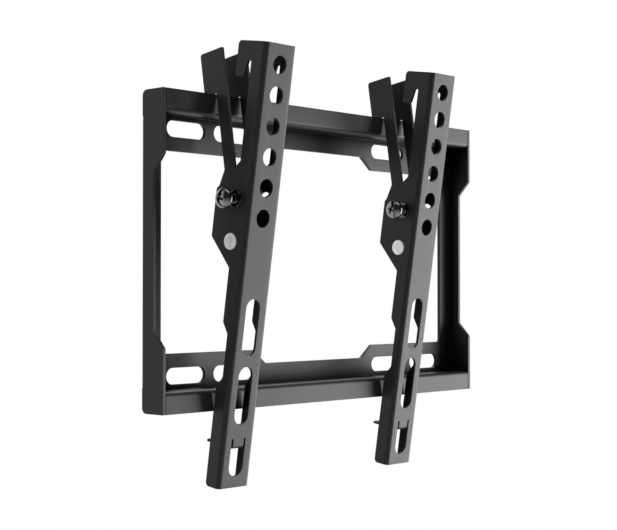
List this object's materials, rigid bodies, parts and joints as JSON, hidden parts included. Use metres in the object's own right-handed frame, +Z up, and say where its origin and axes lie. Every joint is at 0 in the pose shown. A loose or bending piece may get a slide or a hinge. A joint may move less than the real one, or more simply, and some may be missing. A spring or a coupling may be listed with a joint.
{
  "type": "tv wall mount",
  "caption": "Tilting wall mount for a flat screen: a folded wall frame with two upright channel arms that hang on its upper rail and tilt on rivets.",
  "frame": {"origin": "centre of the wall plate, on the wall", "axes": "+X along the rails to the right seen from the room, +Y into the wall, +Z up"},
  "size_m": [0.2484, 0.0531, 0.2196],
  "materials": {
    "powder_coat": "fine matt black powder coat",
    "bare_steel": "satin bare steel",
    "black_zinc": "glossy black zinc"
  },
  "bodies": {
    "wall": {"wall_plate": "powder_coat"},
    "left_hook": {"left_arm_hook_bracket": "powder_coat"},
    "left_tv_arm": {"left_arm_tv_bracket": "powder_coat", "left_arm_rivet_left": "bare_steel", "left_arm_rivet_right": "bare_steel", "left_arm_flat_washer": "black_zinc", "left_arm_slot_washer": "black_zinc", "left_arm_clamp_nut": "black_zinc"},
    "left_screw": {"left_arm_tension_screw": "black_zinc", "left_arm_spring_washer": "black_zinc"},
    "right_hook": {"right_arm_hook_bracket": "powder_coat"},
    "right_tv_arm": {"right_arm_tv_bracket": "powder_coat", "right_arm_rivet_left": "bare_steel", "right_arm_rivet_right": "bare_steel", "right_arm_flat_washer": "black_zinc", "right_arm_slot_washer": "black_zinc", "right_arm_clamp_nut": "black_zinc"},
    "right_screw": {"right_arm_tension_screw": "black_zinc", "right_arm_spring_washer": "black_zinc"}
  },
  "joints": [
    {"name": "left_rail_slide", "type": "slide", "parent": "wall", "child": "left_hook", "axis": [1, 0, 0], "range_m": [-0.032, 0.06]},
    {"name": "left_tilt", "type": "hinge", "parent": "left_hook", "child": "left_tv_arm", "pos_m": [-0.0805, -0.02866, 0.00508], "axis": [1, 0, 0], "range_deg": [-17.4, 0]},
    {"name": "left_screw_turn", "type": "hinge", "parent": "left_tv_arm", "child": "left_screw", "pos_m": [-0.0913, -0.03232, 0.02567], "axis": [1, 0, 0], "continuous": true},
    {"name": "right_rail_slide", "type": "slide", "parent": "wall", "child": "right_hook", "axis": [1, 0, 0], "range_m": [-0.029, 0.0625]},
    {"name": "right_tilt", "type": "hinge", "parent": "right_hook", "child": "right_tv_arm", "pos_m": [0.0501, -0.02866, 0.00508], "axis": [1, 0, 0], "range_deg": [-17.4, 0]},
    {"name": "right_screw_turn", "type": "hinge", "parent": "right_tv_arm", "child": "right_screw", "pos_m": [0.0393, -0.03232, 0.02567], "axis": [1, 0, 0], "continuous": true}
  ]
}
